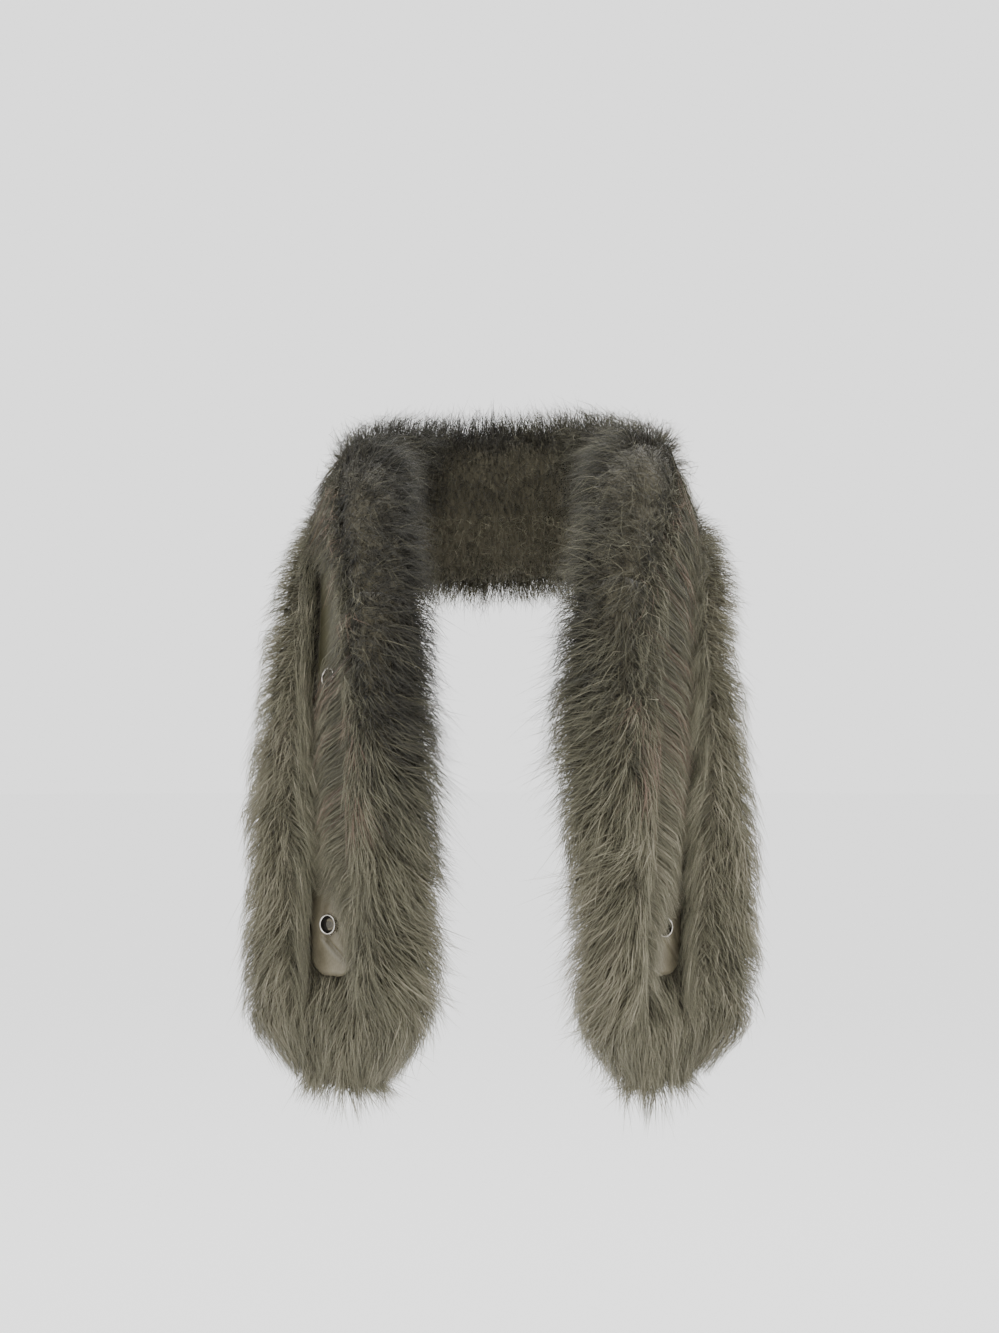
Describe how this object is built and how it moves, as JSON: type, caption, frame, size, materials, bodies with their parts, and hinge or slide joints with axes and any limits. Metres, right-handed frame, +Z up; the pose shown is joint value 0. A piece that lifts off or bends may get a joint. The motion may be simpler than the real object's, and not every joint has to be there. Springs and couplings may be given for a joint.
{
  "type": "fur collar wrap",
  "caption": "Long-haired fur trim strip worn open round the neck as a collar, closed along its outward face by a fabric tape with metal snap sockets.",
  "frame": {"origin": "the nape: the middle of the strip's inner face where it lies on the back of the neck", "axes": "+Z up, the wearer faces -Y, +X is to the viewer's right in the picture"},
  "size_m": [0.2773, 0.2495, 0.3748],
  "materials": {
    "fur": "long soft guard hair over dense underfur, darker at the roots",
    "tape": "satin-faced tape with a soft sheen",
    "snap_metal": "bright plated metal, dark in the recess"
  },
  "bodies": {
    "root": {"fur_front_left": "fur", "fur_neck": "fur", "fur_front_right": "fur", "tape": "tape", "snap_1": "snap_metal", "snap_2": "snap_metal", "snap_3": "snap_metal", "snap_4": "snap_metal", "snap_5": "snap_metal", "snap_6": "snap_metal", "snap_7": "snap_metal"}
  },
  "joints": []
}
